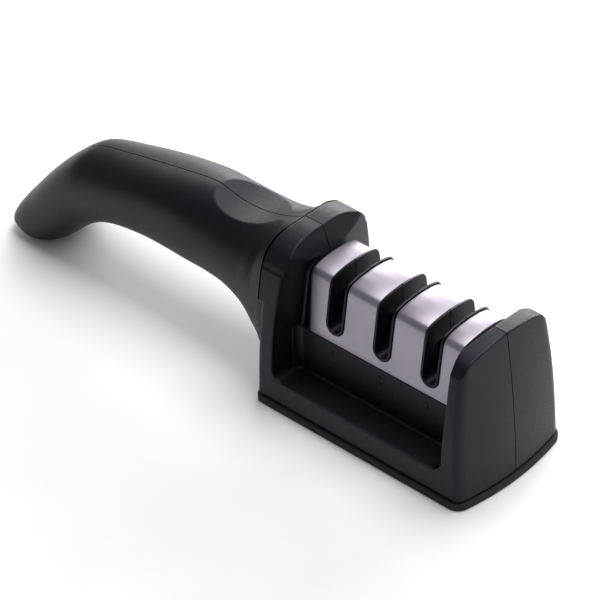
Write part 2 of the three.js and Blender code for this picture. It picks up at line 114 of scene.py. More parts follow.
# Handle ribs: top x, top z, bottom x, bottom z, half width, squareness above and below the waist,
# and the waist's height as a share of the rib.
RIBS = [
    (-39.5, 56.4, -39.5, 5, 21.7, 3.0, 3.0, 0.5),
    (-43, 56.2, -43.8, 7.5, 21.6, 2.8, 3.2, 0.5),
    (-46, 55.9, -46.6, 13, 21.0, 2.5, 3.1, 0.47),
    (-49.5, 54.2, -49.8, 17, 20.2, 2.2, 2.9, 0.42),
    (-53, 52.9, -53, 19.7, 19.3, 2.35, 2.6, 0.4),
    (-58, 52.9, -58, 21.5, 18, 2.15, 2.5, 0.42),
    (-66, 53.3, -66, 22.9, 16.7, 2.05, 2.45, 0.46),
    (-75, 52.8, -75, 23.2, 16, 2.2, 2.45, 0.5),
    (-84, 52.2, -84, 23.1, 15.8, 2.5, 2.4, 0.5),
    (-92, 50.8, -92, 23.1, 15.5, 2.75, 2.3, 0.5),
    (-101, 49.1, -101, 22.8, 15.2, 2.85, 2.2, 0.5),
    (-111, 47.1, -110.5, 21.9, 15, 2.7, 2.2, 0.5),
    (-121, 44.9, -119, 20, 14.8, 2.5, 2.2, 0.5),
    (-129, 43.1, -125.3, 17.6, 14.6, 2.4, 2.3, 0.5),
    (-136, 40.5, -130.8, 14.6, 14.5, 2.4, 2.5, 0.5),
    (-143.5, 34.4, -135.2, 11.3, 14.5, 2.4, 2.6, 0.5),
    (-150.7, 26.8, -139.4, 7.5, 14.5, 2.4, 2.8, 0.5),
    (-157.3, 18.8, -143.6, 3.6, 14.5, 2.4, 3.1, 0.5),
    (-162.3, 12.3, -148, 1.2, 14.4, 2.5, 3.3, 0.5),
    (-165.1, 7.8, -152.4, 0.4, 13.8, 2.6, 3.3, 0.5),
    (-166, 4.9, -156.8, 0.4, 12.2, 2.7, 3.2, 0.5),
]
THUMB_X, THUMB_Z, THUMB_RADIUS, THUMB_REACH = -66, 50.5, 39, 30


# ---- mesh helpers ----
def mesh_piece(name, points, faces):
    mesh = bpy.data.meshes.new(name)
    mesh.from_pydata([[value * MM for value in point] for point in points], [], faces)
    work = bmesh.new()
    work.from_mesh(mesh)
    bmesh.ops.remove_doubles(work, verts=work.verts, dist=1e-4 * MM)
    bmesh.ops.recalc_face_normals(work, faces=work.faces)
    work.to_mesh(mesh)
    work.free()
    piece = bpy.data.objects.new(name, mesh)
    bpy.context.scene.collection.objects.link(piece)
    return piece


def loft(rings, name="form"):
    count = len(rings[0])
    faces = []
    for ring in range(len(rings) - 1):
        for i in range(count):
            a, b = ring * count + i, ring * count + (i + 1) % count
            faces.append((a, b, b + count, a + count))
    last = (len(rings) - 1) * count
    faces += [tuple(range(count)), tuple(range(last, last + count))]
    return mesh_piece(name, [point for ring in rings for point in ring], faces)


def prism(axis, outline, start, end, name="form"):
    """The outline is in (y, z) for axis x, (z, x) for axis y and (x, y) for axis z."""
    place = {
        "x": lambda a, b, along: (along, a, b),
        "y": lambda a, b, along: (b, along, a),
        "z": lambda a, b, along: (a, b, along),
    }[axis]
    return loft([[place(a, b, along) for a, b in outline] for along in (start, end)], name)


def block(x0, x1, y0, y1, z0, z1, name="form"):
    return prism("z", [(x0, y0), (x1, y0), (x1, y1), (x0, y1)], z0, z1, name)


def turned(profile, name="form", sides=48):
    """A solid of revolution about Z. The (radius, z) profile starts and ends on the axis."""
    points, faces, rows = [], [], []
    for radius, z in profile:
        steps = sides if radius > 0 else 1
        rows.append(range(len(points), len(points) + steps))
        for i in range(steps):
            angle = 2 * math.pi * i / sides
            points.append((radius * math.cos(angle), radius * math.sin(angle), z))
    for low, high in zip(rows, rows[1:]):
        for i in range(sides):
            j = (i + 1) % sides
            ring = [low[i % len(low)], low[j % len(low)], high[j % len(high)], high[i % len(high)]]
            faces.append(tuple(dict.fromkeys(ring)))
    return mesh_piece(name, points, [face for face in faces if len(face) > 2])


def stand(piece, start, end):
    """Lays a piece that was turned about Z along the line from start to end."""
    start, end = Vector(start) * MM, Vector(end) * MM
    turn = (end - start).to_track_quat("Z", "Y").to_matrix().to_4x4()
    piece.data.transform(Matrix.Translation(start) @ turn)
    return piece


def rod(start, end, radius, sides=32):
    length = (Vector(end) - Vector(start)).length
    return stand(turned([(0, 0), (radius, 0), (radius, length), (0, length)], sides=sides), start, end)


def settle(piece):
    """Applies the piece's modifiers to its mesh."""
    graph = bpy.context.evaluated_depsgraph_get()
    mesh = bpy.data.meshes.new_from_object(piece.evaluated_get(graph))
    piece.modifiers.clear()
    old, piece.data = piece.data, mesh
    bpy.data.meshes.remove(old)
    return piece


def combine(piece, other, operation):
    change = piece.modifiers.new("cut", "BOOLEAN")
    change.operation, change.object, change.solver = operation, other, "MANIFOLD"
    settle(piece)
    bpy.data.objects.remove(other)
    return piece


def add(piece, *others):
    for other in others:
        combine(piece, other, "UNION")
    return piece


def cut(piece, *others):
    """Takes the others away. They are joined to each other first, because the piece is the large mesh."""
    return combine(piece, add(*others), "DIFFERENCE")


def common(piece, other):
    return combine(piece, other, "INTERSECT")


def copy_of(piece):
    twin = piece.copy()
    twin.data = piece.data.copy()
    bpy.context.scene.collection.objects.link(twin)
    return twin


def soften(piece, voxel, rounds):
    """Rebuilds the piece in even faces and eases its edges, as a moulded or pressed piece has them."""
    remesh = piece.modifiers.new("even", "REMESH")
    remesh.mode, remesh.voxel_size = "VOXEL", voxel * MM
    ease = piece.modifiers.new("ease", "SMOOTH")
    ease.factor, ease.iterations = 0.5, rounds
    return settle(piece)


def bevel(piece, width, segments=2, angle=35):
    edge = piece.modifiers.new("edge", "BEVEL")
    edge.width, edge.segments, edge.limit_method = width * MM, segments, "ANGLE"
    edge.angle_limit = math.radians(angle)
    return settle(piece)


def between(low, high, steps):
    return [low + (high - low) * step / steps for step in range(steps + 1)]


def through(keys, rows, at):
    """A smooth curve through rows of numbers, each given at its key."""
    i = max(1, min(len(keys) - 1, next((n for n, key in enumerate(keys) if key >= at), len(keys))))
    span = keys[i] - keys[i - 1]
    share = max(0.0, min(1.0, (at - keys[i - 1]) / span))
    def slope(n, column):
        low, high = max(n - 1, 0), min(n + 1, len(keys) - 1)
        return (rows[high][column] - rows[low][column]) / (keys[high] - keys[low]) * span
    values = []
    for column in range(len(rows[0])):
        a, b = rows[i - 1][column], rows[i][column]
        sa, sb = slope(i - 1, column), slope(i, column)
        values.append(
            a + sa * share + (3 * (b - a) - 2 * sa - sb) * share**2 + (2 * (a - b) + sa + sb) * share**3
        )
    return values


def signed_power(value, power):
    return math.copysign(abs(value) ** power, value)


# ---- outer form of the body, drawn in by an inset ----
def handle_rib(rib, slide, inset, around):
    top_x, top_z, low_x, low_z, half_width, square_top, square_low, waist = rib
    span = math.hypot(top_x - low_x, top_z - low_z)
    lean_x, lean_z = (top_x - low_x) / span, (top_z - low_z) / span
    mid_x = low_x + lean_x * span * waist + slide * 0.85
    mid_z = low_z + lean_z * span * waist + slide * 0.5
    ring = []
    for i in range(around):
        angle = 2 * math.pi * i / around
        is_top = math.sin(angle) > 0
        power = 2 / (square_top if is_top else square_low)
        reach = span * (1 - waist if is_top else waist) - inset
        up = signed_power(math.sin(angle), power) * reach
        across = signed_power(math.cos(angle), power) * (half_width - inset)
        ring.append((mid_x + up * lean_x, across, mid_z + up * lean_z))
    return ring


def handle_form(inset, steps, around):
    last = len(RIBS) - 1
    keys = list(range(len(RIBS)))
    rings = []
    for index in between(0, last, last * steps):
        slide = inset * (index / last) ** 6
        rings.append(handle_rib(through(keys, RIBS, index), slide, inset, around))
    return loft(rings)


def thumb_cutter(inset):
    """One arc along the handle, level across it, that runs up to the collar's top."""
    along = between(THUMB_REACH, -THUMB_REACH, 80)
    hollow = [(THUMB_Z - inset + a * a / (2 * THUMB_RADIUS), THUMB_X + a) for a in along]
    outline = [*hollow, (ABOVE, THUMB_X - THUMB_REACH), (ABOVE, THUMB_X + THUMB_REACH)]
    return prism("y", outline, -BESIDE, BESIDE)


def nose_x(y, z):
    rise = z - PAD_HEIGHT
    centre = 42.4 - 0.055 * rise - 0.0012 * rise**2
    corner = 39.6 + (z - 2.2) / (51.8 - 2.2) * (35.2 - 39.6)
    return corner + (centre - corner) * (1 - (y / HALF_WIDTH) ** 2)


def head_outline(z, grow, rear, turn=1.6):
    """Plan outline of the head at one height, from the rear right corner to the rear left one."""
    half = through([key for key, _ in SIDE], [(value,) for _, value in SIDE], z)[0] + grow
    quarter = between(0, math.pi / 2, 8)
    def rear_corner(side):
        return [
            (rear - grow + turn * (1 - math.sin(a)), side * (half - turn * (1 - math.cos(a))))
            for a in quarter
        ]
    straight = 0.86          # the front is one shallow curve this far out, and turns into the side past it
    edges = [(straight + (1 - straight) * math.sin(a), turn * (1 - math.cos(a))) for a in quarter]
    middle = [(part, 0) for part in between(-straight, straight, 24)]
    front = [(-part, back) for part, back in reversed(edges)] + middle[1:-1] + edges
    nose = [(nose_x(part * half, z) + grow - back, part * half) for part, back in front]
    return [*reversed(rear_corner(-1)), *nose, *rear_corner(1)]


def smooth_roof(points, inset):
    keys = list(range(len(points)))
    steps = 6 * (len(points) - 1)
    line = [through(keys, points, at) for at in between(0, len(points) - 1, steps)]
    return [(y - inset * 0.5, z - inset) for y, z in line[:-1]] + [(0, line[-1][1] - inset)]


def head_block(inset, low, rear):
    levels = [low, *[z for z in between(low, 60, 28) if z > low]]
    form = loft([[(x, y, z) for x, y in head_outline(z, -inset, rear)] for z in levels])
    def roof(points):
        line = smooth_roof(points, inset)
        mirrored = [(-y, z) for y, z in reversed(line[:-1])]
        return [(-BESIDE, 0), (BESIDE, 0), (BESIDE, 30), *line, *mirrored, (-BESIDE, 30)]
    collar = common(copy_of(form), prism("x", roof(COLLAR_ROOF), BODY_RUN[0], 0))
    return add(common(form, prism("x", roof(NOSE_ROOF), 0, BODY_RUN[1])), collar)


def body_form(inset, steps=8, around=112):
    head = head_block(inset, 0 if inset else PAD_HEIGHT + GAP, HEAD_REAR)
    above_groove = block(BODY_RUN[0], 0, -BESIDE, BESIDE, GROOVE_LOW, ABOVE)
    collar = common(head_block(inset, GROOVE_LOW - 4, COLLAR_BACK), above_groove)
    return cut(add(head, collar, handle_form(inset, steps, around)), thumb_cutter(inset))


# ---- the cut that leaves the saddle standing between the side pockets ----
def pocket_block(grow):
    def fall(y):
        return min(POCKET_BOW * (y / POCKET_BOW_HALF) ** 2, POCKET_BOW_MOST)
    across = between(-30, 30, 30)
    plan = [(POCKET_FRONT + grow + fall(y), y) for y in across]
    plan += [(POCKET_REAR - grow - fall(y), y) for y in reversed(across)]
    low = FLOOR_Z - grow
    rear, front = POCKET_REAR - POCKET_BOW - grow, POCKET_FRONT + POCKET_BOW + grow
    def corner(x, side):
        return [
            (low + POCKET_TURN * (1 - math.sin(a)), x + side * POCKET_TURN * (1 - math.cos(a)))
            for a in between(0, math.pi / 2, 8)
        ]
    profile = [(ABOVE, rear), *corner(rear, 1), *reversed(corner(front, -1)), (ABOVE, front)]
    low_rear, low_front = POCKET_REAR - grow, POCKET_FRONT + grow
    high_rear, high_front = low_rear - REAR_LEAN, low_front + FRONT_LEAN
    funnel = [
        (CREST_Z - 1, low_rear), (57.2, high_rear), (ABOVE, high_rear),
        (ABOVE, high_front), (53, high_front), (CREST_Z - 1, low_front),
    ]
    pocket = common(prism("z", plan, low, ABOVE), prism("y", profile, -BESIDE, BESIDE))
    return add(pocket, prism("y", funnel, -BESIDE, BESIDE))


def saddle_outline(inset, low):
    """The saddle's section in (y, z), drawn in by an inset, from its left foot over the crest."""
    half = [
        (SADDLE_HALF - inset, low), (SADDLE_HALF - inset, COVER_LOW),
        (12.1 - inset, 37), (11 - inset, 45.6), (10.6 - inset, 47.2 - inset * 0.5),
        (9.6 - inset, 48.5 - inset), (8 - inset, 49.1 - inset), (5 - inset * 0.6, 49.7 - inset),
        (0, CREST_Z - inset),
    ]
    return half + [(-y, z) for y, z in reversed(half[:-1])]


def saddle_core(inset):
    low, top = FLOOR_Z - 3, COVER_LOW - GAP - inset
    side = SADDLE_HALF - inset
    pedestal = prism("x", [(-side, low), (side, low), (side, top), (-side, top)], *SADDLE_RUN)
    return add(pedestal, prism("x", saddle_outline(COVER_THICK + GAP + inset, low), *SADDLE_RUN))


def pocket_fillets():
    """Material left in the corners between the saddle's sides and the pocket's end walls."""
    turn, fillets = POCKET_FILLET, []
    for x, side_x in ((POCKET_REAR - 1.1, 1), (POCKET_FRONT + 1.1, -1)):
        for side_y in (-1, 1):
            arc = [
                (
                    x + side_x * turn * (1 - math.cos(a)),
                    side_y * (SADDLE_HALF + turn * (1 - math.sin(a))),
                )
                for a in between(0, math.pi / 2, 8)
            ]
            inner = side_y * (SADDLE_HALF - 1)
            back = x - side_x * 2
            outline = [*arc, (x + side_x * turn, inner), (back, inner), (back, side_y * (SADDLE_HALF + turn))]
            fillets.append(prism("z", outline, FLOOR_Z - 1, COVER_LOW - GAP))
    return fillets


def slot_prism(x, half_width, start, end):
    arc = [
        (SLOT_ROUND_Z + half_width * math.sin(a), x + half_width * math.cos(a))
        for a in between(math.pi, 2 * math.pi, 24)
    ]
    return prism("y", [(ABOVE, x - half_width), *arc, (ABOVE, x + half_width)], start, end)


def slot_prisms(half_width, start=-BESIDE, end=BESIDE):
    return [slot_prism(x, half_width, start, end) for x in SLOT_CENTRES]


# ---- body halves ----
def digit(number, x, side):
    """One plain engraved digit, as a solid that cuts a little way into the wall under its slot."""
    curve = bpy.data.curves.new("digit", "FONT")
    curve.body, curve.size, curve.extrude = str(number), DIGIT_SIZE * MM, DIGIT_DEPTH * MM
    curve.align_x, curve.align_y = "CENTER", "CENTER"
    text = bpy.data.objects.new("digit", curve)
    bpy.context.scene.collection.objects.link(text)
    form = bpy.data.meshes.new_from_object(text.evaluated_get(bpy.context.evaluated_depsgraph_get()))
    bpy.data.objects.remove(text)
    turn = Matrix.Rotation(math.pi / 2, 4, "X")
    if side > 0:
        turn = Matrix.Rotation(math.pi, 4, "Z") @ turn
    form.transform(Matrix.Translation(Vector((x, side * SADDLE_HALF, DIGIT_Z)) * MM) @ turn)
    points = [vertex.co / MM for vertex in form.vertices]
    return mesh_piece("digit", points, [tuple(face.vertices) for face in form.polygons])


def solid_body():
    body = cut(body_form(0), cut(pocket_block(0), saddle_core(0), *pocket_fillets()))
    return soften(body, BODY_VOXEL, EDGE_ROUNDS)


def slot_lip(x):
    """The rim of one slot's lining, which stands a little proud of the cover."""
    half = SADDLE_HALF + 0.3
    lip = common(
        slot_prism(x, SLOT_CLEAR + LINING, -BESIDE, BESIDE),
        prism("x", saddle_outline(-LIP_PROUD, FLOOR_Z), *SADDLE_RUN),
    )
    return bevel(common(lip, block(*SADDLE_RUN, -half, half, FLOOR_Z + 2, 60)), 0.18)


def linings():
    """What the slots' linings keep of the hollow: all but the windows that the crossing pairs stand in."""
    around = SLOT_CLEAR + LINING
    left, right = slot_prisms(around, WINDOW_HALF, BESIDE), slot_prisms(around, -BESIDE, -WINDOW_HALF)
    above = [
        common(lining, block(*SADDLE_RUN, -BESIDE, BESIDE, WINDOW_TOP, ABOVE))
        for lining in slot_prisms(around)
    ]
    return [*left, *right, *above]


def hollow_body():
    inside = cut(body_form(WALL, 2, 40), cut(pocket_block(WALL), saddle_core(2)), *linings())
    digits = [digit(number, x, side) for number, x in enumerate(SLOT_CENTRES, 1) for side in (-1, 1)]
    body = add(solid_body(), add(*[slot_lip(x) for x in SLOT_CENTRES]))
    return cut(body, inside, cover_relief(), *slot_prisms(SLOT_CLEAR), collar_groove(), *digits)


def cover_relief():
    """Room in the saddle for the cover's curled rear edge."""
    rear, front = POCKET_REAR, COVER_REAR + COVER_RAKE + CURL + GAP
    around = prism("x", saddle_outline(COVER_THICK, COVER_LOW - GAP), rear, front)
    core = prism("x", saddle_outline(COVER_THICK + GAP + CURL, COVER_LOW - 2), rear - 1, front + 1)
    return cut(around, core)


def collar_groove():
    """The fine line round the handle's root: a thin slab that leans forward towards the sides."""
    low_x = COLLAR_BACK + GROOVE_LEAN
    slab = prism("y", [
        (GROOVE_LOW, low_x - GROOVE_HALF), (GROOVE_LOW, low_x + GROOVE_HALF),
        (ABOVE, COLLAR_BACK + GROOVE_HALF), (ABOVE, COLLAR_BACK - GROOVE_HALF),
    ], -BESIDE, BESIDE)
    return cut(slab, body_form(GROOVE_DEPTH, 4, 80))


def half_body(body, side, name):
    """One side of the body, with posts for its screws and pegs inside."""
    keep = block(*BODY_RUN, *((SPLIT, BESIDE) if side > 0 else (-BESIDE, -SPLIT)), 0, ABOVE)
    posts = [rod((x, 0, z), (x, side * 20, z), BOSS_RADIUS) for x, z in HANDLE_SCREWS]
    posts += [rod((x, 0, z), (x, side * 20, z), POST_RADIUS) for x, z in PEGS]
    envelope = body_form(WALL / 2, 2, 40)
    posts = [common(post, copy_of(envelope)) for post in posts]
    bpy.data.objects.remove(envelope)
    near = [(x, y) for x, y in BASE_SCREWS if y * side > 0]
    posts += [rod((x, y, PLATE_TOP + GAP), (x, y, FLOOR_Z - 1), POST_RADIUS) for x, y in near]
    half = common(add(copy_of(body), add(*posts)), keep)
    cut(half, *[rod((x, y, 3), (x, y, FLOOR_Z - 0.9), SCREW_RADIUS + GAP) for x, y in near])
    half.name = half.data.name = name
    return half


def left_body(body):
    half = half_body(body, 1, "left_body_half")
    bores = [rod((x, SCREW_SEAT_Y, z), (x, BESIDE, z), SCREW_HEAD_RADIUS + GAP) for x, z in HANDLE_SCREWS]
    bores += [rod((x, -1, z), (x, 20, z), SCREW_RADIUS + GAP) for x, z in HANDLE_SCREWS]
    sockets = [rod((x, -1, z), (x, 4.6, z), PEG_RADIUS + GAP) for x, z in PEGS]
    return cut(half, *bores, *sockets)


def right_body(body):
    half = half_body(body, -1, "right_body_half")
    cut(half, *[rod((x, -10.5, z), (x, 1, z), SCREW_RADIUS + GAP) for x, z in HANDLE_SCREWS])
    return add(half, add(*[rod((x, -2, z), (x, 4, z), PEG_RADIUS) for x, z in PEGS]))


# ---- steel cover ----
def rounded(outline, radius, steps=5):
    """Turns each inner corner of an open line into an arc of about that radius."""
    line = [outline[0]]
    for before, corner, after in zip(outline, outline[1:], outline[2:]):
        a, b, c = Vector(before), Vector(corner), Vector(after)
        reach = min(radius, (a - b).length * 0.45, (c - b).length * 0.45)
        start, end = b + (a - b).normalized() * reach, b + (c - b).normalized() * reach
        for share in between(0, 1, steps):
            p = start * (1 - share) ** 2 + b * 2 * share * (1 - share) + end * share**2
            line.append((p.x, p.y))
    return [*line, outline[-1]]


def cover_line(inset):
    """The bent sheet's section at that inset, from one lower edge over the crest to the other."""
    outline = saddle_outline(inset, COVER_LOW)
    half = outline[1:9]
    return rounded([*half, *[(-y, z) for y, z in reversed(half[:-1])]], 1.6)


def cover_ring(end, side, draw):
    """One section of the sheet, square to the crest at that end and raked in towards the lower edges."""
    outer, inner = cover_line(draw), cover_line(COVER_THICK + draw)
    rake = side * COVER_RAKE / (CREST_Z - COVER_LOW)
    return [(end + rake * (CREST_Z - z), y, z) for y, z in [*outer, *reversed(inner)]]


def steel_cover():
    """One bent sheet: its ends curl in towards the saddle, and each slot's edge is broken."""
    quarter = between(0, math.pi / 2, 6)
    rear = [
        cover_ring(COVER_REAR + CURL * (1 - math.sin(a)), 1, CURL * (1 - math.cos(a)))
        for a in quarter
    ]
    front = [
        cover_ring(COVER_FRONT - FRONT_CURL * (1 - math.sin(a)), -1, FRONT_CURL * (1 - math.cos(a)))
        for a in quarter
    ]
    cover = loft([*reversed(rear), *front], "steel_cover_sheet")
    cut(cover, *slot_prisms(SLOT_CLEAR + LINING + GAP))
    return bevel(cover, 0.22, 3, 50)


# ---- base ----
def base_pad():
    outline = head_outline(PAD_HEIGHT, PAD_LIP, HEAD_REAR, 3.2)
    pad = prism("z", outline, 0, PAD_HEIGHT, "rubber_base_pad")
    cut(pad, *[block(-32, 30, y - 1, y + 1, -1, 0.8) for y in (-18, -6, 6, 18)])
    return bevel(pad, 0.45, 3, 50)


def base_plate():
    outline = head_outline(PAD_HEIGHT + GAP, -WALL - GAP, HEAD_REAR)
    plate = prism("z", outline, PAD_HEIGHT + GAP, PLATE_TOP, "base_plate_inner")
    low, wide, narrow = PAD_HEIGHT, SCREW_HEAD_RADIUS + GAP, SCREW_RADIUS + GAP
    for x, y in BASE_SCREWS:
        hole = turned([
            (0, low), (wide, low), (wide, low + 1), (narrow, low + 2), (narrow, low + 3), (0, low + 3),
        ])
        hole.data.transform(Matrix.Translation(Vector((x, y, 0)) * MM))
        cut(plate, hole)
    return bevel(plate, 0.15, 2, 50)


# ---- screws ----
def screw(name, tip, head_end):
    """A pan-head screw with a cross recess, from its tip to the top of its head."""
    length = (Vector(head_end) - Vector(tip)).length
    pitch, core = 0.9, SCREW_RADIUS - 0.35
    profile = [(0, 0), (0.35, 0.1)]
    z = 0.9
    while z < length - 2.4:
        profile += [(core, z), (SCREW_RADIUS, z + pitch * 0.45), (core, z + pitch * 0.6)]
        z += pitch
    neck = length - SCREW_HEAD_HEIGHT
    profile += [(core + 0.1, z), (SCREW_RADIUS, neck - 0.3), (SCREW_RADIUS, neck)]
    profile += [(SCREW_HEAD_RADIUS - 0.25, neck + 0.35), (SCREW_HEAD_RADIUS, neck + 0.6)]
    profile += [
        (SCREW_HEAD_RADIUS * math.cos(a), neck + 0.6 + 0.7 * math.sin(a))
        for a in between(0, math.pi / 2, 6)[1:-1]
    ]
    body = turned([*profile, (0, length)], name, 36)
    for turn in (0, math.pi / 2):
        bar = block(-1.5, 1.5, -0.36, 0.36, length - 0.85, length + 1)
        bar.data.transform(Matrix.Rotation(turn, 4, "Z"))
        cut(body, bar)
    return stand(body, tip, head_end)


# ---- sharpening pieces and their holders ----
def crossing_line(x, lean, low, high, offset):
    """The two ends of one of the crossing pair, which leans along X and stands to one side of the other."""
    return [(x + lean * (z - CROSS_Z) * math.tan(CROSS_ANGLE), lean * offset, z) for z in (low, high)]


def sharpening_rod(name, x, lean):
    start, end = crossing_line(x, lean, ROD_LOW, ROD_HIGH, ROD_OFFSET)
    length = (Vector(end) - Vector(start)).length
    ends = [(ROD_RADIUS * math.cos(a), ROD_DOME * math.sin(a)) for a in between(0, math.pi / 2, 8)]
    low = [(radius, ROD_DOME - rise) for radius, rise in reversed(ends)]
    high = [(radius, length - ROD_DOME + rise) for radius, rise in ends]
    profile = [(0 if radius < 1e-6 else radius, z) for radius, z in [*low, *high]]
    return stand(turned(profile, name), start, end)


def leaning_bar(line, half_width, half_thick, lean, name="form"):
    """A flat bar along a crossing line."""
    start, end = Vector(line[0]), Vector(line[1])
    half = (end - start).length / 2
    bar = block(-half_width, half_width, -half_thick, half_thick, -half, half, name)
    tilt = Matrix.Rotation(lean * CROSS_ANGLE, 4, "Y")
    bar.data.transform(Matrix.Translation((start + end) / 2 * MM) @ tilt)
    return bar


def carbide_blade(name, x, lean):
    line = crossing_line(x, lean, ROD_LOW, BLADE_HIGH, BLADE_OFFSET)
    return bevel(leaning_bar(line, BLADE_WIDTH / 2, BLADE_THICK / 2, lean, name), 0.18, 2, 50)


def holder(name, x, make_piece):
    """A moulded block over the base plate, hollow below, that grips the crossing pair."""
    body = add(
        block(x - 6.2, x + 6.2, -10.7, 10.7, PLATE_TOP + GAP, 24, name),
        block(x - 6.2, x + 6.2, -5.6, 5.6, 23, 30),
    )
    cut(body, block(x - 4.6, x + 4.6, -9, 9, 4, 21.5))
    for lean in (-1, 1):
        if make_piece is carbide_blade:
            line = crossing_line(x, lean, ROD_LOW - GAP, SOCKET_HIGH, BLADE_OFFSET)
            cut(body, leaning_bar(line, BLADE_WIDTH / 2 + GAP, BLADE_THICK / 2 + GAP, lean))
        else:
            line = crossing_line(x, lean, ROD_LOW - GAP, SOCKET_HIGH, ROD_OFFSET)
            cut(body, rod(*line, ROD_RADIUS + GAP))
    return bevel(body, 0.25, 2, 50)


# ---- finishes ----
def linear(colour):
    """An sRGB hex colour as linear red, green, blue and alpha."""
    channels = [int(colour[i:i + 2], 16) / 255 for i in (1, 3, 5)]
    return (*[c / 12.92 if c <= 0.04045 else ((c + 0.055) / 1.055) ** 2.4 for c in channels], 1)


def add_node(tree, kind, inputs=(), **settings):
    made = tree.nodes.new(kind)
    for name, value in settings.items():
        setattr(made, name, value)
    for name, value in dict(inputs).items():
        if isinstance(value, bpy.types.NodeSocket):
            tree.links.new(value, made.inputs[name])
        else:
            made.inputs[name].default_value = value
    return made


def start_material(name, **inputs):
    """A new material: its node tree, its surface shader and where on the piece each point lies."""
    material = bpy.data.materials.new(name)
    material.use_nodes = True
    tree = material.node_tree
    surface = tree.nodes["Principled BSDF"]
    for socket, value in inputs.items():
        surface.inputs[socket.replace("_", " ")].default_value = value
    place = add_node(tree, "ShaderNodeTexCoord").outputs["Object"]
    return material, tree, surface, place


def grain(tree, place, size, detail=2, stretch=(1, 1, 1)):
    """Noise whose spots are about size millimetres across, drawn out along an axis by stretch."""
    scale = [1 / (size * MM * part) for part in stretch]
    spread = add_node(tree, "ShaderNodeMapping", {"Vector": place, "Scale": scale}).outputs["Vector"]
    noise = add_node(tree, "ShaderNodeTexNoise", {"Vector": spread, "Scale": 1, "Detail": detail})
    return noise.outputs["Fac"]


def blend_range(tree, surface, socket, source, low, high, start=0.3, end=0.7):
    """Drives a number on the shader from low to high as the source goes from start to end."""
    drive = add_node(
        tree, "ShaderNodeMapRange",
        {"Value": source, "From Min": start, "From Max": end, "To Min": low, "To Max": high},
    )
    tree.links.new(drive.outputs["Result"], surface.inputs[socket])


def blend_colours(tree, surface, source, colours, start=0.3, end=0.7):
    ramp = add_node(tree, "ShaderNodeValToRGB", {"Fac": source})
    stops = ramp.color_ramp.elements
    stops[0].position, stops[1].position = start, end
    stops[0].color, stops[1].color = [linear(colour) for colour in colours]
    tree.links.new(ramp.outputs["Color"], surface.inputs["Base Color"])


def relief(tree, surface, layers):
    """Bumps the surface by layers of (height source, depth in millimetres)."""
    normal = None
    for source, depth in layers:
        inputs = {"Height": source, "Distance": depth * MM, "Strength": 1}
        if normal is not None:
            inputs["Normal"] = normal
        normal = add_node(tree, "ShaderNodeBump", inputs).outputs["Normal"]
    tree.links.new(normal, surface.inputs["Normal"])


def moulded_abs():
    """Black ABS from a spark-eroded mould: a fine even grain that turns highlights into a soft grey haze."""
    material, tree, surface, place = start_material(
        "moulded_black_abs", IOR=1.54, Roughness=0.42, Specular_IOR_Level=0.28,
        Specular_Tint=linear("#dfdaf4"),
    )
    fine, cloudy = grain(tree, place, 0.5, 3), grain(tree, place, 9)
    blend_colours(tree, surface, cloudy, ("#06060b", "#0a090f"))
    blend_range(tree, surface, "Roughness", fine, 0.36, 0.5)
    relief(tree, surface, [(cloudy, 0.03), (fine, 0.06)])
    return material


def moulded_nylon():
    """Black glass-filled nylon, moulded: duller and greyer than the body, with a slight mottle."""
    material, tree, surface, place = start_material("moulded_black_nylon", IOR=1.53, Roughness=0.55)
    fine, cloudy = grain(tree, place, 0.5, 3), grain(tree, place, 4)
    blend_colours(tree, surface, cloudy, ("#0f0f11", "#161618"))
    blend_range(tree, surface, "Roughness", fine, 0.5, 0.66)
    relief(tree, surface, [(fine, 0.03)])
    return material


def moulded_rubber():
    """Black thermoplastic rubber, moulded: no gloss, and a finely pitted skin that looks soft."""
    material, tree, surface, place = start_material("moulded_soft_rubber", IOR=1.5, Roughness=0.8)
    fine, cloudy = grain(tree, place, 0.6, 4), grain(tree, place, 6)
    blend_colours(tree, surface, cloudy, ("#0d0d0f", "#131315"))
    blend_range(tree, surface, "Roughness", fine, 0.68, 0.88)
    relief(tree, surface, [(fine, 0.05)])
    return material


def brushed_stainless():
    """Stainless sheet, brushed along the cover before it was bent: reflections smear into soft bands."""
    material, tree, surface, place = start_material("brushed_stainless_steel", Metallic=1, Roughness=0.4)
    lines = grain(tree, place, 0.16, 2, (60, 1, 1))
    cloudy = grain(tree, place, 12)
    blend_colours(tree, surface, cloudy, ("#98919c", "#a19aa4"))
    blend_range(tree, surface, "Roughness", lines, 0.37, 0.45)
    relief(tree, surface, [(lines, 0.002)])
    return material


def plated_screw_steel():
    """Nickel-plated screw steel, rolled and pressed: bright, with faint turning marks."""
    material, tree, surface, place = start_material("nickel_plated_steel", Metallic=1, Roughness=0.3)
    fine = grain(tree, place, 0.3, 3)
    blend_colours(tree, surface, fine, ("#a9a8a3", "#c2c1bc"))
    blend_range(tree, surface, "Roughness", fine, 0.24, 0.42)
    relief(tree, surface, [(fine, 0.006)])
    return material


def plated_diamond():
    """Diamond grit held in nickel plate: a grey skin that sparkles where single grains catch the light."""
    material, tree, surface, place = start_material("diamond_plated_steel", Metallic=0.7, Roughness=0.6)
    spots = add_node(tree, "ShaderNodeTexVoronoi", {"Vector": place, "Scale": 1 / (0.22 * MM)})
    blend_colours(tree, surface, spots.outputs["Distance"], ("#9a9893", "#4c4b48"), 0.1, 0.7)
    blend_range(tree, surface, "Roughness", spots.outputs["Distance"], 0.3, 0.8, 0.1, 0.7)
    relief(tree, surface, [(spots.outputs["Distance"], 0.05)])
    return material


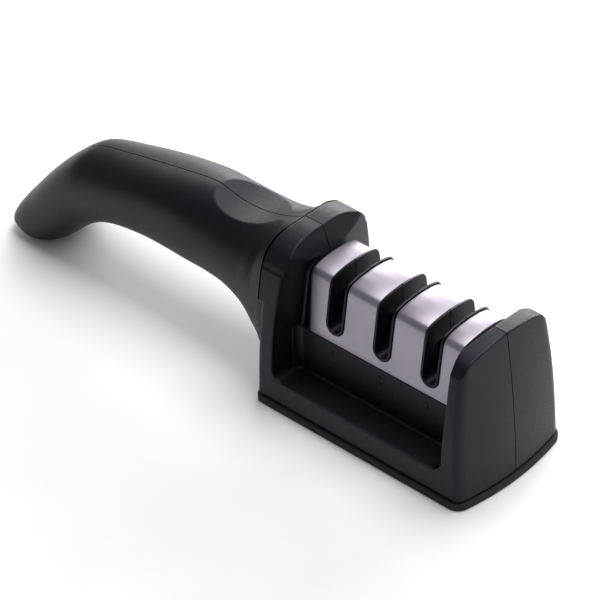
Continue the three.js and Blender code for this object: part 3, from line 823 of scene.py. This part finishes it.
def ground_carbide():
    """Ground tungsten carbide: dark grey metal with fine marks across the blade from the wheel."""
    material, tree, surface, place = start_material("ground_tungsten_carbide", Metallic=1, Roughness=0.35)
    marks = grain(tree, place, 0.12, 2, (1, 40, 1))
    blend_colours(tree, surface, marks, ("#6a6b6e", "#7e7f82"))
    blend_range(tree, surface, "Roughness", marks, 0.28, 0.45)
    relief(tree, surface, [(marks, 0.004)])
    return material


def fired_ceramic():
    """Fired alumina ceramic: warm white and dense, with a faint speckle and a dry, silky surface."""
    material, tree, surface, place = start_material("fired_white_ceramic", IOR=1.76, Roughness=0.5)
    fine, cloudy = grain(tree, place, 0.25, 4), grain(tree, place, 3)
    blend_colours(tree, surface, cloudy, ("#dcd8cd", "#ebe8e0"))
    blend_range(tree, surface, "Roughness", fine, 0.42, 0.6)
    relief(tree, surface, [(fine, 0.008)])
    return material


# ---- assembly ----
def place_piece(piece, node, material):
    """Gives the piece its finish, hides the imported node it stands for, and fixes it to the body."""
    piece.data.materials.clear()
    piece.data.materials.append(material)
    piece.data.shade_smooth()
    piece.data.set_sharp_from_angle(angle=SMOOTH_ANGLE)
    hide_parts(node)
    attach(piece, "root")


abs_black, nylon_black, rubber_black = moulded_abs(), moulded_nylon(), moulded_rubber()
screw_steel = plated_screw_steel()
whole_body = hollow_body()
place_piece(right_body(whole_body), "right_shell", abs_black)
place_piece(left_body(whole_body), "left_shell", abs_black)
bpy.data.objects.remove(whole_body)
place_piece(steel_cover(), "steel_cover", brushed_stainless())
place_piece(base_plate(), "base_plate", nylon_black)
place_piece(base_pad(), "base_pad", rubber_black)

for number, (x, y) in enumerate(BASE_SCREWS, 1):
    head = PAD_HEIGHT + GAP
    piece = screw(f"base_screw_{number}_threaded", (x, y, head + 6), (x, y, head))
    place_piece(piece, f"base_screw_{number}", screw_steel)
for number, (x, z) in enumerate(HANDLE_SCREWS, 1):
    head = SCREW_SEAT_Y + SCREW_HEAD_HEIGHT + GAP
    piece = screw(f"handle_screw_{number}_threaded", (x, head - 16, z), (x, head, z))
    place_piece(piece, f"handle_screw_{number}", screw_steel)

STAGES = [
    ("diamond_rod", sharpening_rod, plated_diamond(), "diamond_coating"),
    ("carbide_blade", carbide_blade, ground_carbide(), "carbide"),
    ("ceramic_rod", sharpening_rod, fired_ceramic(), "ceramic"),
]
for number, (x, (kind, make, material, slot)) in enumerate(zip(SLOT_CENTRES, STAGES), 1):
    piece = holder(f"stage_{number}_holder_block", x, make)
    place_piece(piece, f"stage_{number}_holder", nylon_black)
    for side, lean in (("a", -1), ("b", 1)):
        node = f"stage_{number}_{kind}_{side}"
        place_piece(make(f"{node}_fine", x, lean), node, material)


# ---- floor, lights and camera ----
def pale_floor():
    """Matt white paper sweep under the sharpener."""
    floor = block(-3000, 3000, -3000, 3000, -2, 0, "paper_floor")
    material, tree, surface, place = start_material("matt_white_paper", Roughness=0.9)
    blend_colours(tree, surface, grain(tree, place, 40), ("#f6f6f6", "#fafafa"))
    floor.data.materials.append(material)


def softbox(name, place, aim, size, watts):
    light = bpy.data.lights.new(name, "AREA")
    light.shape, light.size, light.size_y, light.energy = "RECTANGLE", *size, watts
    lamp = bpy.data.objects.new(name, light)
    lamp.location = place
    lamp.rotation_mode = "QUATERNION"
    lamp.rotation_quaternion = (Vector(aim) - Vector(place)).to_track_quat("-Z", "Y")
    bpy.context.scene.collection.objects.link(lamp)


def studio():
    world = bpy.data.worlds.new("studio_air")
    world.use_nodes = True
    back = world.node_tree.nodes["Background"]
    back.inputs["Color"].default_value = linear("#f4f5f8")
    back.inputs["Strength"].default_value = 0.3
    scene = bpy.context.scene
    scene.world = world
    scene.view_settings.view_transform = "Standard"
    centre = (-0.02, 0, 0.03)
    softbox("back_softbox", (-0.3, 0.8, 0.32), centre, (1.0, 0.4), 9)
    softbox("top_softbox", (0.0, 0.25, 1.0), centre, (0.7, 0.7), 9)
    softbox("nose_softbox", (1.1, 0.25, 0.5), centre, (0.6, 0.6), 1.5)


def camera():
    azimuth, elevation, distance = math.radians(41.9709), math.radians(37.1995), 1.15
    target = Vector((-0.066417, 0.022693, 0))
    back = Vector((
        math.sin(azimuth) * math.cos(elevation),
        -math.cos(azimuth) * math.cos(elevation),
        math.sin(elevation),
    ))
    data = bpy.data.cameras.new("camera")
    data.sensor_width, data.lens = 36, 212.43
    made = bpy.data.objects.new("camera", data)
    made.location = target + back * distance
    made.rotation_mode = "QUATERNION"
    made.rotation_quaternion = (-back).to_track_quat("-Z", "Y")
    bpy.context.scene.collection.objects.link(made)
    bpy.context.scene.camera = made


pale_floor()
studio()
camera()
